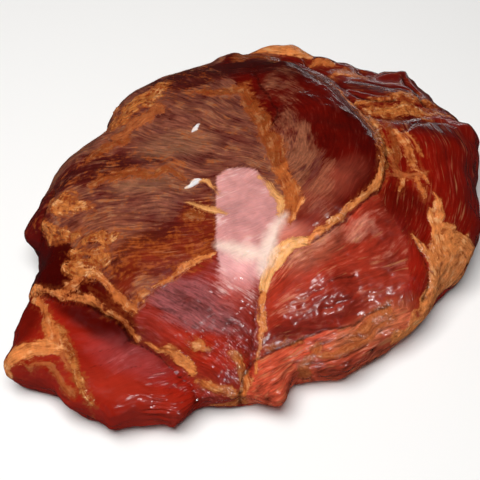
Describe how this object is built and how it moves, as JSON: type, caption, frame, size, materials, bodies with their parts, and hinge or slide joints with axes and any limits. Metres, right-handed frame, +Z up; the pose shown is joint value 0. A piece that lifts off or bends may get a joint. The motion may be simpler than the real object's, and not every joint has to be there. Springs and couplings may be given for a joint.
{
  "type": "smoked ham",
  "caption": "Boneless smoked ham, a broad low slab of cured leg muscles held together by seams of fat, lying flat with its rounded side up.",
  "frame": {"origin": "on the surface that the ham lies on, under the middle of its box", "axes": "+Z up, through the ham's thin way; +X towards the broad rounded end; -Y towards the side with the flat shank lobe"},
  "size_m": [0.3116, 0.305, 0.0867],
  "materials": {
    "smoked_meat": "glossy, moist, dark red-brown meat with tan fat seams"
  },
  "bodies": {
    "root": {"smoked_ham": "smoked_meat"}
  },
  "joints": []
}
